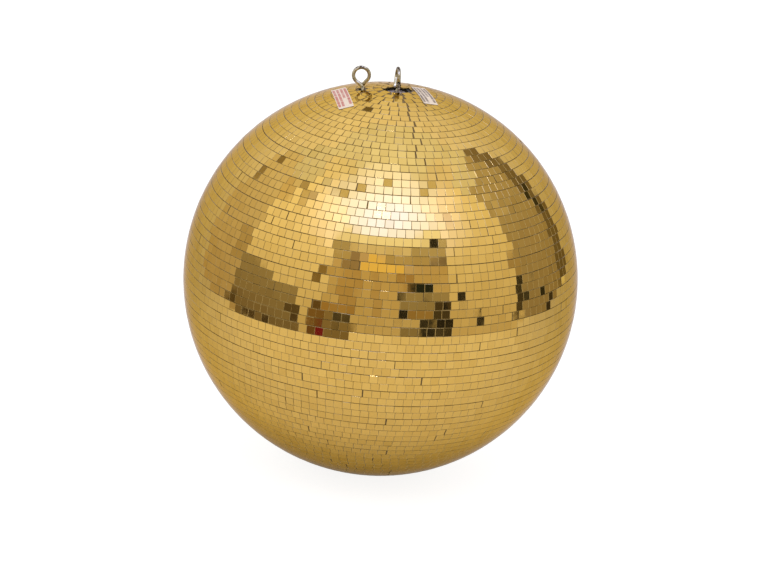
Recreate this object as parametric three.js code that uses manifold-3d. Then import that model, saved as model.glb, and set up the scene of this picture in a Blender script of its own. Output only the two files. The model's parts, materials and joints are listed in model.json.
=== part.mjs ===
// A 50 cm gold mirror ball with a hanging eye and a safety eye.
// Units are millimetres and +Z is up. The origin is the point inside the top of the hanging
// eye's ring where a hook bears; the ball hangs below it. Longitudes count from -Y towards +X.

import * as THREE from 'three';
import { mergeVertices } from 'three/addons/utils/BufferGeometryUtils.js';
import Module from 'manifold-3d';

// Ball and mosaic
const BALL_R = 250;
const TILE_T = 1.5;
const ROW_COUNT = 71;
const ROW_PITCH_DEG = 2.412;
const ROWS_PER_BAND = 4;
const BAND_GAP_DEG = 0.12;
const FIT_GAP = 0.3;

// Smoothness of the round pieces
const AROUND = 40;
const WASHER_SIDES = 24;
const DRILL_SIDES = 16;
const NUT_HOLE_STEPS = 8;
const WELD_DISTANCE = 1e-4;

// Core: two plastic half shells that meet at the equator
const HALF_BAND_DEG = ROWS_PER_BAND * ROW_PITCH_DEG / 2;
const CORE_R = (BALL_R - TILE_T) * Math.cos(rad(HALF_BAND_DEG)) - FIT_GAP;
const CORE_T = 2.5;
const CORE_STEP_DEG = 9;
const CORE_LAST_DEG = 81;
const LIP_T = 2;
const LIP_HEIGHT = 8;
const LIP_ROOT = 10;
const LIP_SETBACK = 1;

// Sunk panel at the upper pole, with the washer in it
const PANEL_R = 14.5;
const PANEL_TOP = 243.7;
const PANEL_WALL = 2.5;
const POLE_WASHER_R = 11;
const POLE_WASHER_T = 1.5;

// Wire eyes, both of the same pattern. The wire leaves the shank to one side, runs round the
// ring and comes down on the neck's other side. Drops are measured from the ring's middle.
const WIRE_R = 2.25;
const WIRE_SIDES = 10;
const RING_R = 9.75;
const RING_OPEN_DEG = 42;
const RING_LEAN = 1.4;
const SHOULDER = { side: 3, lean: 2.1, drop: 10.3 };
const NECK = { side: 0.3, lean: 2.3, drop: 14 };
const WIRE_END = { side: 0.5, lean: 2.45, drop: 13.9 };
const STRAIGHT_DROP = 20;
const SHANK_CLEARANCE = 0.6;
const SHANK_HOLE_R = WIRE_R + SHANK_CLEARANCE;
const SHANK_POINTS = 5;
const RING_POINTS = 14;
const EYE_STEPS = 50;

// Hanging eye, on the axis. Heights are measured from the ball's centre.
const MAIN_RING_HEIGHT = 265;
const MAIN_SHANK_END = 225;
const MAIN_EYE_TURN_DEG = -86;
const MAIN_PLATE_R = 24;
const MAIN_PLATE_T = 3;
const THRUST_WASHER_R = 7;
const THRUST_WASHER_T = 1.2;

// Safety eye, square to the shell. Distances are measured from the ball's centre along its axis.
const SAFETY_LATITUDE_DEG = 80.3;
const SAFETY_LONGITUDE_DEG = -86;
const SAFETY_RING_HEIGHT = 267.3;
const SAFETY_SHANK_END = 231;
const SAFETY_WASHER_R = 12;
const SAFETY_WASHER_T = 2;
const SAFETY_WASHER_TOP = 243;
const SAFETY_TILE_HOLE_R = 6.5;

// Lock nuts
const NUT_ACROSS_FLATS = 8;
const NUT_HEIGHT = 5;
const NUT_HOLE_R = WIRE_R + FIT_GAP;

// Round mirror piece at the lower pole
const POLE_TILE_R = 18;
const POLE_TILE_FACE = -249.4;

// Paper labels stuck over the tiles. heading is the direction of the long side, seen from above.
const LABEL_T = 0.3;
const LABEL_STEPS_ALONG = 10;
const LABEL_STEPS_ACROSS = 3;
const LEFT_LABEL = { length: 75, width: 19, latitude: 73.6, longitude: -70.3, heading: -80 };
const RIGHT_LABEL = { length: 61, width: 18.5, latitude: 81.7, longitude: 74, heading: -72.5 };

// The origin is the inside top of the hanging ring, so the ball's centre lies below it.
const CENTRE_Z = -(MAIN_RING_HEIGHT + RING_R - WIRE_R);

const X_AXIS = new THREE.Vector3(1, 0, 0);
const Z_AXIS = new THREE.Vector3(0, 0, 1);

const GOLD_MIRROR = { color: 0xd9ac4e, roughness: 0.08, metalness: 1 };
const DARK_PLASTIC = { color: 0x2b2412, roughness: 0.8, metalness: 0 };
const ZINC_STEEL = { color: 0xb9ad8c, roughness: 0.35, metalness: 1 };
const GREY_STEEL = { color: 0x9c98a0, roughness: 0.45, metalness: 1 };
const CREAM_PAPER = { color: 0xe6dcc8, roughness: 0.85, metalness: 0 };

const wasm = await Module();
wasm.setup();

function rad(degrees) {
  return degrees * Math.PI / 180;
}

// A point of a lathe profile: distance from the axis, then height.
function onArc(radius, latitude) {
  return new THREE.Vector2(radius * Math.cos(rad(latitude)), radius * Math.sin(rad(latitude)));
}

// Height of a sphere's surface at a distance from the axis.
function sphereHeight(radius, fromAxis) {
  return Math.sqrt(radius ** 2 - fromAxis ** 2);
}

// Keeps positions only and shares the vertices along seams.
function welded(geometry) {
  geometry.deleteAttribute('normal');
  geometry.deleteAttribute('uv');
  return mergeVertices(geometry, WELD_DISTANCE);
}

// Turns a closed profile about +Z. Outer walls run upwards in the list of points.
function revolve(points, segments) {
  const geometry = new THREE.LatheGeometry(points, segments);
  geometry.rotateX(Math.PI / 2);
  return welded(geometry);
}

function washer(holeR, outerR, bottom, top) {
  const corners = [[holeR, bottom], [outerR, bottom], [outerR, top], [holeR, top], [holeR, bottom]];
  const profile = corners.map(([r, z]) => new THREE.Vector2(r, z));
  return revolve(profile, WASHER_SIDES);
}

function toManifold(geometry) {
  const vertProperties = new Float32Array(geometry.attributes.position.array);
  const triVerts = new Uint32Array(geometry.index.array);
  return new wasm.Manifold(new wasm.Mesh({ numProp: 3, vertProperties, triVerts }));
}

function fromManifold(solid) {
  const mesh = solid.getMesh();
  const geometry = new THREE.BufferGeometry();
  geometry.setAttribute('position', new THREE.BufferAttribute(mesh.vertProperties, 3));
  geometry.setIndex(new THREE.BufferAttribute(mesh.triVerts, 1));
  return geometry;
}

function cut(geometry, cutter) {
  return fromManifold(toManifold(geometry).subtract(toManifold(cutter)));
}

// Tips +Z over to a latitude and longitude, after a turn about +Z.
function facing(latitude, longitude, turn) {
  const rotation = new THREE.Quaternion().setFromAxisAngle(Z_AXIS, rad(longitude));
  rotation.multiply(new THREE.Quaternion().setFromAxisAngle(X_AXIS, rad(90 - latitude)));
  return rotation.multiply(new THREE.Quaternion().setFromAxisAngle(Z_AXIS, rad(turn)));
}

const SAFETY_ROTATION = facing(SAFETY_LATITUDE_DEG, SAFETY_LONGITUDE_DEG, -SAFETY_LONGITUDE_DEG);

// A round drill along the safety eye's axis, from the ball's centre outwards.
function safetyDrill(radius) {
  const drill = new THREE.CylinderGeometry(radius, radius, BALL_R, DRILL_SIDES);
  drill.rotateX(Math.PI / 2);
  drill.translate(0, 0, BALL_R);
  drill.applyQuaternion(SAFETY_ROTATION);
  return welded(drill);
}

// One band of tile rows, joined into a skin of constant thickness.
function bandGeometry(firstRow) {
  const rows = Math.min(ROWS_PER_BAND, ROW_COUNT - firstRow);
  const topEdge = (ROW_COUNT / 2 - firstRow) * ROW_PITCH_DEG;
  const high = topEdge - BAND_GAP_DEG / 2;
  const low = topEdge - rows * ROW_PITCH_DEG + BAND_GAP_DEG / 2;
  const inner = BALL_R - TILE_T;
  const profile = [onArc(BALL_R, low), onArc(BALL_R, high), onArc(inner, high), onArc(inner, low)];
  profile.push(profile[0].clone());
  return revolve(profile, AROUND);
}

// Points of the core's wall between the equator and the polar panel, from the equator up.
function coreArc(radius) {
  const points = [];
  for (let latitude = CORE_STEP_DEG; latitude <= CORE_LAST_DEG; latitude += CORE_STEP_DEG) {
    points.push(onArc(radius, latitude));
  }
  return points;
}

function upperShell() {
  const innerR = CORE_R - CORE_T;
  const seam = FIT_GAP / 2;
  const wallR = PANEL_R + PANEL_WALL;
  const panelBottom = PANEL_TOP - CORE_T;
  const profile = [
    new THREE.Vector2(CORE_R, seam),
    ...coreArc(CORE_R),
    new THREE.Vector2(PANEL_R, sphereHeight(CORE_R, PANEL_R)),
    new THREE.Vector2(PANEL_R, PANEL_TOP),
    new THREE.Vector2(SHANK_HOLE_R, PANEL_TOP),
    new THREE.Vector2(SHANK_HOLE_R, panelBottom),
    new THREE.Vector2(wallR, panelBottom),
    new THREE.Vector2(wallR, sphereHeight(innerR, wallR)),
    ...coreArc(innerR).reverse(),
    new THREE.Vector2(innerR, seam),
    new THREE.Vector2(CORE_R, seam),
  ];
  return cut(revolve(profile, AROUND), safetyDrill(SHANK_HOLE_R));
}

function lowerShell() {
  const innerR = CORE_R - CORE_T;
  const seam = -FIT_GAP / 2;
  const lipOuter = innerR - LIP_SETBACK;
  const lipInner = lipOuter - LIP_T;
  const below = (point) => new THREE.Vector2(point.x, -point.y);
  const profile = [
    new THREE.Vector2(0, -CORE_R),
    ...coreArc(CORE_R).reverse().map(below),
    new THREE.Vector2(CORE_R, seam),
    new THREE.Vector2(lipOuter, seam),
    new THREE.Vector2(lipOuter, LIP_HEIGHT),
    new THREE.Vector2(lipInner, LIP_HEIGHT),
    new THREE.Vector2(lipInner, -LIP_ROOT),
    ...coreArc(innerR).map(below),
    new THREE.Vector2(0, -innerR),
  ];
  return revolve(profile, AROUND);
}

// The middle line of an eye's wire: up the shank, round the ring and down beside the neck.
function eyeCurve(ringHeight, shankEnd) {
  const points = [];
  const straightEnd = ringHeight - STRAIGHT_DROP;
  for (let i = 0; i < SHANK_POINTS; i++) {
    const share = i / (SHANK_POINTS - 1);
    points.push(new THREE.Vector3(0, 0, shankEnd + (straightEnd - shankEnd) * share));
  }
  points.push(new THREE.Vector3(NECK.side, NECK.lean, ringHeight - NECK.drop));
  points.push(new THREE.Vector3(SHOULDER.side, SHOULDER.lean, ringHeight - SHOULDER.drop));
  const sweep = 180 + 2 * RING_OPEN_DEG;
  for (let i = 0; i <= RING_POINTS; i++) {
    const share = i / RING_POINTS;
    const angle = rad(sweep * share - RING_OPEN_DEG);
    const lean = RING_LEAN * (1 - 2 * share);
    points.push(new THREE.Vector3(RING_R * Math.cos(angle), lean, ringHeight + RING_R * Math.sin(angle)));
  }
  points.push(new THREE.Vector3(-SHOULDER.side, -SHOULDER.lean, ringHeight - SHOULDER.drop));
  points.push(new THREE.Vector3(-WIRE_END.side, -WIRE_END.lean, ringHeight - WIRE_END.drop));
  return new THREE.CatmullRomCurve3(points);
}

function eyeBolt(ringHeight, shankEnd) {
  const section = new THREE.Shape().absarc(0, 0, WIRE_R, 0, 2 * Math.PI);
  const extrudePath = eyeCurve(ringHeight, shankEnd);
  const options = { steps: EYE_STEPS, curveSegments: WIRE_SIDES / 2, extrudePath };
  return welded(new THREE.ExtrudeGeometry(section, options));
}

function lockNut(top) {
  const cornerR = NUT_ACROSS_FLATS / Math.sqrt(3);
  const corners = [];
  for (let i = 0; i < 6; i++) {
    const angle = i * Math.PI / 3;
    corners.push(new THREE.Vector2(cornerR * Math.cos(angle), cornerR * Math.sin(angle)));
  }
  const outline = new THREE.Shape(corners);
  outline.holes.push(new THREE.Path().absarc(0, 0, NUT_HOLE_R, 0, 2 * Math.PI, true));
  const options = { depth: NUT_HEIGHT, bevelEnabled: false, curveSegments: NUT_HOLE_STEPS };
  const nut = new THREE.ExtrudeGeometry(outline, options);
  nut.translate(0, 0, top - NUT_HEIGHT);
  return welded(nut);
}

// A flat sheet bent on to the ball, just clear of the tiles, with its middle at the top.
function paperLabel({ length, width }) {
  const alongSteps = LABEL_STEPS_ALONG;
  const sheet = new THREE.BoxGeometry(length, width, LABEL_T, alongSteps, LABEL_STEPS_ACROSS, 1);
  const position = sheet.attributes.position;
  const point = new THREE.Vector3();
  for (let i = 0; i < position.count; i++) {
    point.fromBufferAttribute(position, i);
    const along = point.x / BALL_R;
    const across = point.y / BALL_R;
    const radius = BALL_R + FIT_GAP + LABEL_T / 2 + point.z;
    point.set(Math.sin(along), Math.sin(across) * Math.cos(along), Math.cos(across) * Math.cos(along));
    point.multiplyScalar(radius);
    position.setXYZ(i, point.x, point.y, point.z);
  }
  return welded(sheet);
}

function addPiece(parent, name, geometry, look) {
  geometry.computeVertexNormals();
  const mesh = new THREE.Mesh(geometry, new THREE.MeshStandardMaterial(look));
  mesh.name = name;
  parent.add(mesh);
  return mesh;
}

function addLabel(parent, name, label) {
  const mesh = addPiece(parent, name, paperLabel(label), CREAM_PAPER);
  mesh.quaternion.copy(facing(label.latitude, label.longitude, label.heading - label.longitude));
}

function addMosaic(ball) {
  let number = 0;
  for (let firstRow = 0; firstRow < ROW_COUNT; firstRow += ROWS_PER_BAND) {
    number += 1;
    let geometry = bandGeometry(firstRow);
    if (firstRow === 0) {
      geometry = cut(geometry, safetyDrill(SAFETY_TILE_HOLE_R));
    }
    addPiece(ball, `mirror_band_${String(number).padStart(2, '0')}`, geometry, GOLD_MIRROR);
  }
  const poleTile = new THREE.CylinderGeometry(POLE_TILE_R, POLE_TILE_R, TILE_T, AROUND);
  poleTile.rotateX(Math.PI / 2);
  poleTile.translate(0, 0, POLE_TILE_FACE + TILE_T / 2);
  addPiece(ball, 'lower_pole_tile', welded(poleTile), GOLD_MIRROR);
}

function addMainEye(ball) {
  const washerBottom = PANEL_TOP + FIT_GAP;
  const poleWasher = washer(SHANK_HOLE_R, POLE_WASHER_R, washerBottom, washerBottom + POLE_WASHER_T);
  addPiece(ball, 'pole_washer', poleWasher, GREY_STEEL);
  const plateTop = PANEL_TOP - CORE_T - FIT_GAP;
  const plateBottom = plateTop - MAIN_PLATE_T;
  const backingPlate = washer(SHANK_HOLE_R, MAIN_PLATE_R, plateBottom, plateTop);
  addPiece(ball, 'main_backing_plate', backingPlate, GREY_STEEL);

  const thrustTop = plateBottom - FIT_GAP;
  const thrustBottom = thrustTop - THRUST_WASHER_T;
  const thrustWasher = washer(NUT_HOLE_R, THRUST_WASHER_R, thrustBottom, thrustTop);
  const eye = new THREE.Group();
  eye.rotation.z = rad(MAIN_EYE_TURN_DEG);
  addPiece(eye, 'main_eye_bolt', eyeBolt(MAIN_RING_HEIGHT, MAIN_SHANK_END), ZINC_STEEL);
  addPiece(eye, 'main_thrust_washer', thrustWasher, GREY_STEEL);
  addPiece(eye, 'main_lock_nut', lockNut(thrustBottom - FIT_GAP), ZINC_STEEL);
  ball.add(eye);
}

function addSafetyEye(ball) {
  const washerBottom = SAFETY_WASHER_TOP - SAFETY_WASHER_T;
  const backingWasher = washer(SHANK_HOLE_R, SAFETY_WASHER_R, washerBottom, SAFETY_WASHER_TOP);
  const eye = new THREE.Group();
  eye.quaternion.copy(SAFETY_ROTATION);
  addPiece(eye, 'safety_eye_bolt', eyeBolt(SAFETY_RING_HEIGHT, SAFETY_SHANK_END), ZINC_STEEL);
  addPiece(eye, 'safety_backing_washer', backingWasher, GREY_STEEL);
  addPiece(eye, 'safety_lock_nut', lockNut(washerBottom - FIT_GAP), ZINC_STEEL);
  ball.add(eye);
}

const mirrorBall = new THREE.Group();
const ball = new THREE.Group();
ball.position.z = CENTRE_Z;
mirrorBall.add(ball);
addPiece(ball, 'core_upper_shell', upperShell(), DARK_PLASTIC);
addPiece(ball, 'core_lower_shell', lowerShell(), DARK_PLASTIC);
addMosaic(ball);
addMainEye(ball);
addSafetyEye(ball);
addLabel(ball, 'left_paper_label', LEFT_LABEL);
addLabel(ball, 'right_paper_label', RIGHT_LABEL);

export default mirrorBall;
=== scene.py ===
import json
import math
import random

import bpy
from mathutils import Matrix, Vector


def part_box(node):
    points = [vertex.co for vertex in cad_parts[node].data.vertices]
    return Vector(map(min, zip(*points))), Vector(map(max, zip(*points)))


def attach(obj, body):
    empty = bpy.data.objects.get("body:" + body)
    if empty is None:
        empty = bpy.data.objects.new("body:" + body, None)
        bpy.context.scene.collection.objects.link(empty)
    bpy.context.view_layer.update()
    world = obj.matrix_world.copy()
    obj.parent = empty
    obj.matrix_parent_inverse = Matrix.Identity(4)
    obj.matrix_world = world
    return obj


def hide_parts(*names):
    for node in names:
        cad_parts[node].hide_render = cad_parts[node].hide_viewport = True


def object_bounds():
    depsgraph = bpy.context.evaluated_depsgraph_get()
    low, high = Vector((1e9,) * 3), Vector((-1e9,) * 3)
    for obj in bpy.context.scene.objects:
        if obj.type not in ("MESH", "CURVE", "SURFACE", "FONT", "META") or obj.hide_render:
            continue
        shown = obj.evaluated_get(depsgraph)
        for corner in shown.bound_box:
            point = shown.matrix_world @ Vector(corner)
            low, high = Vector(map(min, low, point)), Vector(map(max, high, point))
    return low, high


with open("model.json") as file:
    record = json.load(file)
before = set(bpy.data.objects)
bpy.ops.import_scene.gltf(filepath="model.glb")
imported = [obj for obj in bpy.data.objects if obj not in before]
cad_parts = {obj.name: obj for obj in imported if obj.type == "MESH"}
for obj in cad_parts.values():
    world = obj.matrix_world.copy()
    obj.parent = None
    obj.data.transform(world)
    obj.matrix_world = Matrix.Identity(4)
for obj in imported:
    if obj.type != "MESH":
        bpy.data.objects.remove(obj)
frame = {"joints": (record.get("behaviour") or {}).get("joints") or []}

# The looks of a 50 cm gold mirror ball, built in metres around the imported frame.
# Longitudes count from -Y, the camera's side, towards +X. Latitudes count up from the equator.

MM = 0.001
SEED = 20

# Mosaic, as in the frame: level rows of square tiles, four rows to a band
BALL_R = 250 * MM
TILE = 10.15 * MM
TILE_T = 1.5 * MM
TILE_SHORT = 0.08 * MM  # how much less the tiles measure up the ball than along the row
CHAMFER_WIDTHS = (0.11 * MM, 0.32 * MM)
CHAMFER_DEPTHS = (0.06 * MM, 0.30 * MM)
BREAK_SLANT = 0.55  # how far the scored glass breaks to one side, as a share of the ground edge
ROW_COUNT = 71
ROW_PITCH = math.radians(2.412)
ROWS_PER_BAND = 4
BED_TOP = 248.75 * MM
BED_BOTTOM = 248.05 * MM
CROWN_BED_RAISE = 0.55 * MM
CROWN_BANDS = 3

cad_lo, cad_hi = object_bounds()
joints = {joint["name"]: joint for joint in frame["joints"]}
CENTRE = Vector(joints["safety_eye_turn"]["pos_m"])
SAFETY_AXIS = Vector(joints["safety_eye_turn"]["axis"]).normalized()
FLOOR_Z = cad_lo.z - 0.3 * MM


def on_ball(longitude, latitude, radius=BALL_R):
    """A point above the ball's centre, in the row frame."""
    return CENTRE + radius * direction(longitude, latitude)


def direction(longitude, latitude):
    level = math.cos(latitude)
    return Vector((math.sin(longitude) * level, -math.cos(longitude) * level, math.sin(latitude)))


# ---- Camera

CAMERA_DISTANCE = 12 * BALL_R
CAMERA_ELEVATION = math.radians(18.93)
CAMERA_ROLL = math.radians(4.9)
CAMERA_LENS = 111.5
AIM_RIGHT = 0.6 * MM
AIM_UP = -3.0 * MM
CAMERA_REACH = 100


def make_camera():
    back = direction(0, CAMERA_ELEVATION)
    turn = (-back).to_track_quat("-Z", "Y") @ Matrix.Rotation(CAMERA_ROLL, 3, "Z").to_quaternion()
    data = bpy.data.cameras.new("camera")
    data.lens = CAMERA_LENS
    data.clip_end = CAMERA_REACH
    camera = bpy.data.objects.new("camera", data)
    camera.rotation_mode = "QUATERNION"
    camera.rotation_quaternion = turn
    camera.location = CENTRE + CAMERA_DISTANCE * back + turn @ Vector((AIM_RIGHT, AIM_UP, 0))
    bpy.context.scene.collection.objects.link(camera)
    bpy.context.scene.camera = camera


# ---- Material helpers

NOISE_SPAN = (0.3, 0.7)  # the range that most of a noise's values lie in
NOISE_ROUGHNESS = 0.55


class Shader:
    """A new material and short ways to add nodes to it."""

    def __init__(self, name):
        self.material = bpy.data.materials.new(name)
        self.material.use_nodes = True
        self.tree = self.material.node_tree
        self.bsdf = self.tree.nodes["Principled BSDF"]
        self.place = self.node("ShaderNodeTexCoord").outputs["Object"]

    def set(self, **values):
        for name, value in values.items():
            self.bsdf.inputs[name.replace("_", " ")].default_value = value

    def wire(self, output, socket):
        self.tree.links.new(output, socket)

    def link(self, output, input_name):
        self.wire(output, self.bsdf.inputs[input_name])

    def colour(self, output):
        self.link(output, "Base Color")

    def rough(self, noise, smooth, dull):
        self.link(self.remap(noise, *NOISE_SPAN, smooth, dull), "Roughness")

    def node(self, kind, **settings):
        node = self.tree.nodes.new(kind)
        for name, value in settings.items():
            setattr(node, name, value)
        return node

    def noise(self, scale, detail=4.0, coordinates=None):
        node = self.node("ShaderNodeTexNoise")
        node.inputs["Scale"].default_value = scale
        node.inputs["Detail"].default_value = detail
        node.inputs["Roughness"].default_value = NOISE_ROUGHNESS
        self.wire(coordinates or self.place, node.inputs["Vector"])
        return node.outputs["Fac"]

    def attribute(self, name):
        return self.node("ShaderNodeAttribute", attribute_name=name).outputs["Fac"]

    def uv(self, name):
        return self.node("ShaderNodeUVMap", uv_map=name).outputs["UV"]

    def split(self, vector):
        node = self.node("ShaderNodeSeparateXYZ")
        self.wire(vector, node.inputs["Vector"])
        return node.outputs["X"], node.outputs["Y"]

    def remap(self, value, low, high, to_low, to_high):
        node = self.node("ShaderNodeMapRange")
        ends = {"From Min": low, "From Max": high, "To Min": to_low, "To Max": to_high}
        for name, number in ends.items():
            node.inputs[name].default_value = number
        self.wire(value, node.inputs["Value"])
        return node.outputs["Result"]

    def fill(self, socket, value):
        """Sets a socket to a number or a colour, or links an output to it."""
        if isinstance(value, tuple):
            socket.default_value = (*value, 1.0)
        elif isinstance(value, (int, float)):
            socket.default_value = value
        else:
            self.wire(value, socket)

    def math(self, operation, first, second=0):
        node = self.node("ShaderNodeMath", operation=operation)
        self.fill(node.inputs[0], first)
        self.fill(node.inputs[1], second)
        return node.outputs["Value"]

    def mix(self, factor, first, second, blend="MIX"):
        node = self.node("ShaderNodeMix", data_type="RGBA", blend_type=blend)
        for name, value in (("Factor", factor), ("A", first), ("B", second)):
            self.fill(next(s for s in node.inputs if s.name == name and s.enabled), value)
        return next(s for s in node.outputs if s.enabled)

    def bump(self, height, distance):
        node = self.node("ShaderNodeBump")
        node.inputs["Distance"].default_value = distance
        self.wire(height, node.inputs["Height"])
        self.link(node.outputs["Normal"], "Normal")


def gold_mirror():
    """Gold-backed mirror glass: every tile a little different, with faint smears and dust."""
    shader = Shader("gold_mirror")
    shader.set(Metallic=1.0, Specular_Tint=(0.86, 0.70, 0.42, 1.0))
    deep, light, hazy = (0.565, 0.365, 0.088), (0.645, 0.430, 0.112), (0.60, 0.44, 0.18)
    smear = shader.noise(55, detail=6)
    gold = shader.mix(shader.attribute("tile_shade"), deep, light)
    shader.colour(shader.mix(shader.remap(smear, 0.42, 0.72, 0.0, 0.12), gold, hazy))
    dust = shader.remap(shader.noise(1500, detail=2), 0.66, 0.74, 0.0, 0.12)
    smeared = shader.remap(smear, 0.35, 0.75, 0.015, 0.085)
    shader.link(shader.math("ADD", smeared, dust), "Roughness")
    shader.bump(shader.noise(130, detail=1), distance=0.004 * MM)
    return shader.material


def glass_edge():
    """The tiles' edges: amber glass, ground dull along the rows and snapped clean across them. The edges
    along the rows are coloured darker, partly for their ground finish and partly as painted shade of the
    rows' overhang.
    """
    shader = Shader("glass_edge")
    shader.set(Metallic=0.65)
    grain = shader.noise(900, detail=3)
    across = shader.attribute("tile_shade")
    # Edges along the rows are darker: partly their ground finish, partly painted shade of the rows' overhang.
    ground = shader.mix(grain, (0.220, 0.145, 0.038), (0.520, 0.355, 0.105))
    snapped = shader.mix(grain, (0.300, 0.200, 0.055), (0.640, 0.450, 0.150))
    shader.colour(shader.mix(across, ground, snapped))
    polish = shader.remap(grain, *NOISE_SPAN, 0.12, 0.26)
    shader.link(shader.math("ADD", polish, shader.math("MULTIPLY", across, 0.16)), "Roughness")
    shader.bump(grain, distance=0.03 * MM)
    return shader.material


def dark_glue():
    """The cloth and dried glue between and under the tiles."""
    shader = Shader("dark_glue")
    shader.set(Specular_IOR_Level=0.3)
    lumps = shader.noise(260, detail=6)
    shader.colour(shader.mix(lumps, (0.060, 0.034, 0.008), (0.200, 0.125, 0.034)))
    shader.rough(lumps, 0.45, 0.9)
    shader.bump(lumps, distance=0.5 * MM)
    return shader.material


def core_plastic():
    """Moulded plastic of the two half shells, dusty and slightly orange-peeled."""
    shader = Shader("core_plastic")
    stain = shader.noise(18, detail=5)
    shader.colour(shader.mix(stain, (0.020, 0.017, 0.011), (0.050, 0.042, 0.026)))
    shader.rough(stain, 0.5, 0.8)
    shader.bump(shader.noise(420, detail=3), distance=0.08 * MM)
    return shader.material


def zinc_steel():
    """Yellowish zinc plate on bent wire, with a dull film, scratches and small dark pits."""
    shader = Shader("zinc_steel")
    shader.set(Metallic=1.0)
    film = shader.noise(160, detail=6)
    filmed = shader.remap(film, 0.35, 0.65, 0.0, 1.0)
    plate = shader.mix(filmed, (0.34, 0.29, 0.16), (0.62, 0.58, 0.42))
    pits = shader.remap(shader.noise(700, detail=4), 0.60, 0.68, 0.0, 0.8)
    scratches = shader.remap(shader.noise(420, detail=5), 0.45, 0.50, 0.0, 1.0)
    dirt = shader.math("MAXIMUM", pits, shader.math("MULTIPLY", shader.attribute("wear"), scratches))
    shader.colour(shader.mix(dirt, plate, (0.07, 0.045, 0.028)))
    polish = shader.remap(film, *NOISE_SPAN, 0.20, 0.42)
    shader.link(shader.math("ADD", polish, shader.math("MULTIPLY", dirt, 0.3)), "Roughness")
    shader.bump(shader.noise(900, detail=3), distance=0.03 * MM)
    return shader.material


def grey_zinc():
    """Dull bluish zinc plate of the washers and plates."""
    shader = Shader("grey_zinc")
    shader.set(Metallic=0.9)
    spangle = shader.node("ShaderNodeTexVoronoi")
    spangle.inputs["Scale"].default_value = 420
    shader.wire(shader.place, spangle.inputs["Vector"])
    tone = shader.remap(spangle.outputs["Distance"], 0.0, 0.8, 0.0, 1.0)
    plate = shader.mix(tone, (0.34, 0.29, 0.27), (0.52, 0.45, 0.41))
    grime = shader.remap(shader.noise(240, detail=6), 0.52, 0.70, 0.0, 0.7)
    shader.colour(shader.mix(grime, plate, (0.09, 0.07, 0.05)))
    shader.link(shader.remap(grime, 0.0, 0.7, 0.34, 0.7), "Roughness")
    shader.bump(shader.noise(800, detail=2), distance=0.02 * MM)
    return shader.material


def nylon_insert():
    """Milky nylon ring in the top of a lock nut."""
    shader = Shader("nylon_insert")
    shader.set(Subsurface_Weight=0.1)
    cloud = shader.noise(500, detail=3)
    shader.colour(shader.mix(cloud, (0.55, 0.56, 0.52), (0.72, 0.72, 0.68)))
    shader.rough(cloud, 0.35, 0.55)
    return shader.material


BAR_START = 0.06
BAR_FILL = 0.42  # half a bar's share of its line's height, before its soft sides
BAR_SIDES = (0.72, 0.85)
BAR_END_SOFTNESS = 0.01
WORD_LENGTH = 3.2 * MM
LINE_STEP = 7.3  # sets the lines' blocks apart in the noise


def printed_paper(name, ink, length, bars):
    """Cream paper with plain printed bars along its length. bars are (middle, end) shares of the sheet."""
    shader = Shader(name)
    shader.set(Specular_IOR_Level=0.35)
    along, across = shader.split(shader.uv("sheet"))
    coordinates = word_coordinates(shader, along, across, length, len(bars))
    words = shader.noise(1.0, detail=1, coordinates=coordinates)
    half = BAR_FILL / len(bars)
    start = shader.remap(along, BAR_START, BAR_START + BAR_END_SOFTNESS, 0.0, 1.0)
    printed = 0.0
    for middle, end in bars:
        near = shader.math("ABSOLUTE", shader.math("SUBTRACT", across, middle))
        inside = shader.remap(near, *(half * side for side in BAR_SIDES), 1.0, 0.0)
        stop = shader.remap(along, end, end + BAR_END_SOFTNESS, 1.0, 0.0)
        bar = shader.math("MULTIPLY", inside, shader.math("MULTIPLY", start, stop))
        printed = shader.math("MAXIMUM", printed, bar)
    broken = shader.remap(words, 0.36, 0.44, 0.25, 1.0)
    fade = shader.remap(shader.noise(300, detail=4), *NOISE_SPAN, 0.6, 0.95)
    cover = shader.math("MULTIPLY", shader.math("MULTIPLY", printed, broken), fade)
    fibres = shader.noise(900, detail=5)
    stain = shader.remap(shader.noise(60, detail=4), 0.45, 0.75, 0.0, 0.5)
    paper = shader.mix(fibres, (0.60, 0.49, 0.40), (0.72, 0.61, 0.51))
    paper = shader.mix(stain, paper, (0.60, 0.48, 0.35))
    shader.colour(shader.mix(cover, paper, ink))
    shader.rough(fibres, 0.5, 0.75)
    shader.bump(fibres, distance=0.03 * MM)
    return shader.material


def word_coordinates(shader, along, across, length, lines):
    """Coordinates that break the bars into word-sized blocks, a new set for each bar."""
    joined = shader.node("ShaderNodeCombineXYZ")
    shader.wire(shader.math("MULTIPLY", along, length / WORD_LENGTH), joined.inputs["X"])
    line = shader.math("FLOOR", shader.math("MULTIPLY", across, lines))
    shader.wire(shader.math("MULTIPLY", line, LINE_STEP), joined.inputs["Y"])
    return joined.outputs["Vector"]


# ---- Mesh helpers


def new_object(name, vertices, faces, materials, face_materials=None, smooth=False):
    mesh = bpy.data.meshes.new(name)
    mesh.from_pydata([tuple(v) for v in vertices], [], faces)
    for material in materials:
        mesh.materials.append(material)
    if face_materials is not None:
        mesh.polygons.foreach_set("material_index", face_materials)
    mesh.polygons.foreach_set("use_smooth", [smooth] * len(mesh.polygons))
    mesh.update()
    piece = bpy.data.objects.new(name, mesh)
    bpy.context.scene.collection.objects.link(piece)
    return piece


def ring_faces(rings, count, closed=True):
    """Faces that join rings of points. closed also joins the last ring to the first."""
    faces = []
    for i in range(rings if closed else rings - 1):
        here, there = i * count, (i + 1) % rings * count
        for k in range(count):
            after = (k + 1) % count
            faces.append((here + k, there + k, there + after, here + after))
    return faces


def add_uvs(piece, name, uvs):
    layer = piece.data.uv_layers.new(name=name)
    for loop in piece.data.loops:
        layer.data[loop.index].uv = uvs[loop.vertex_index]


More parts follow.
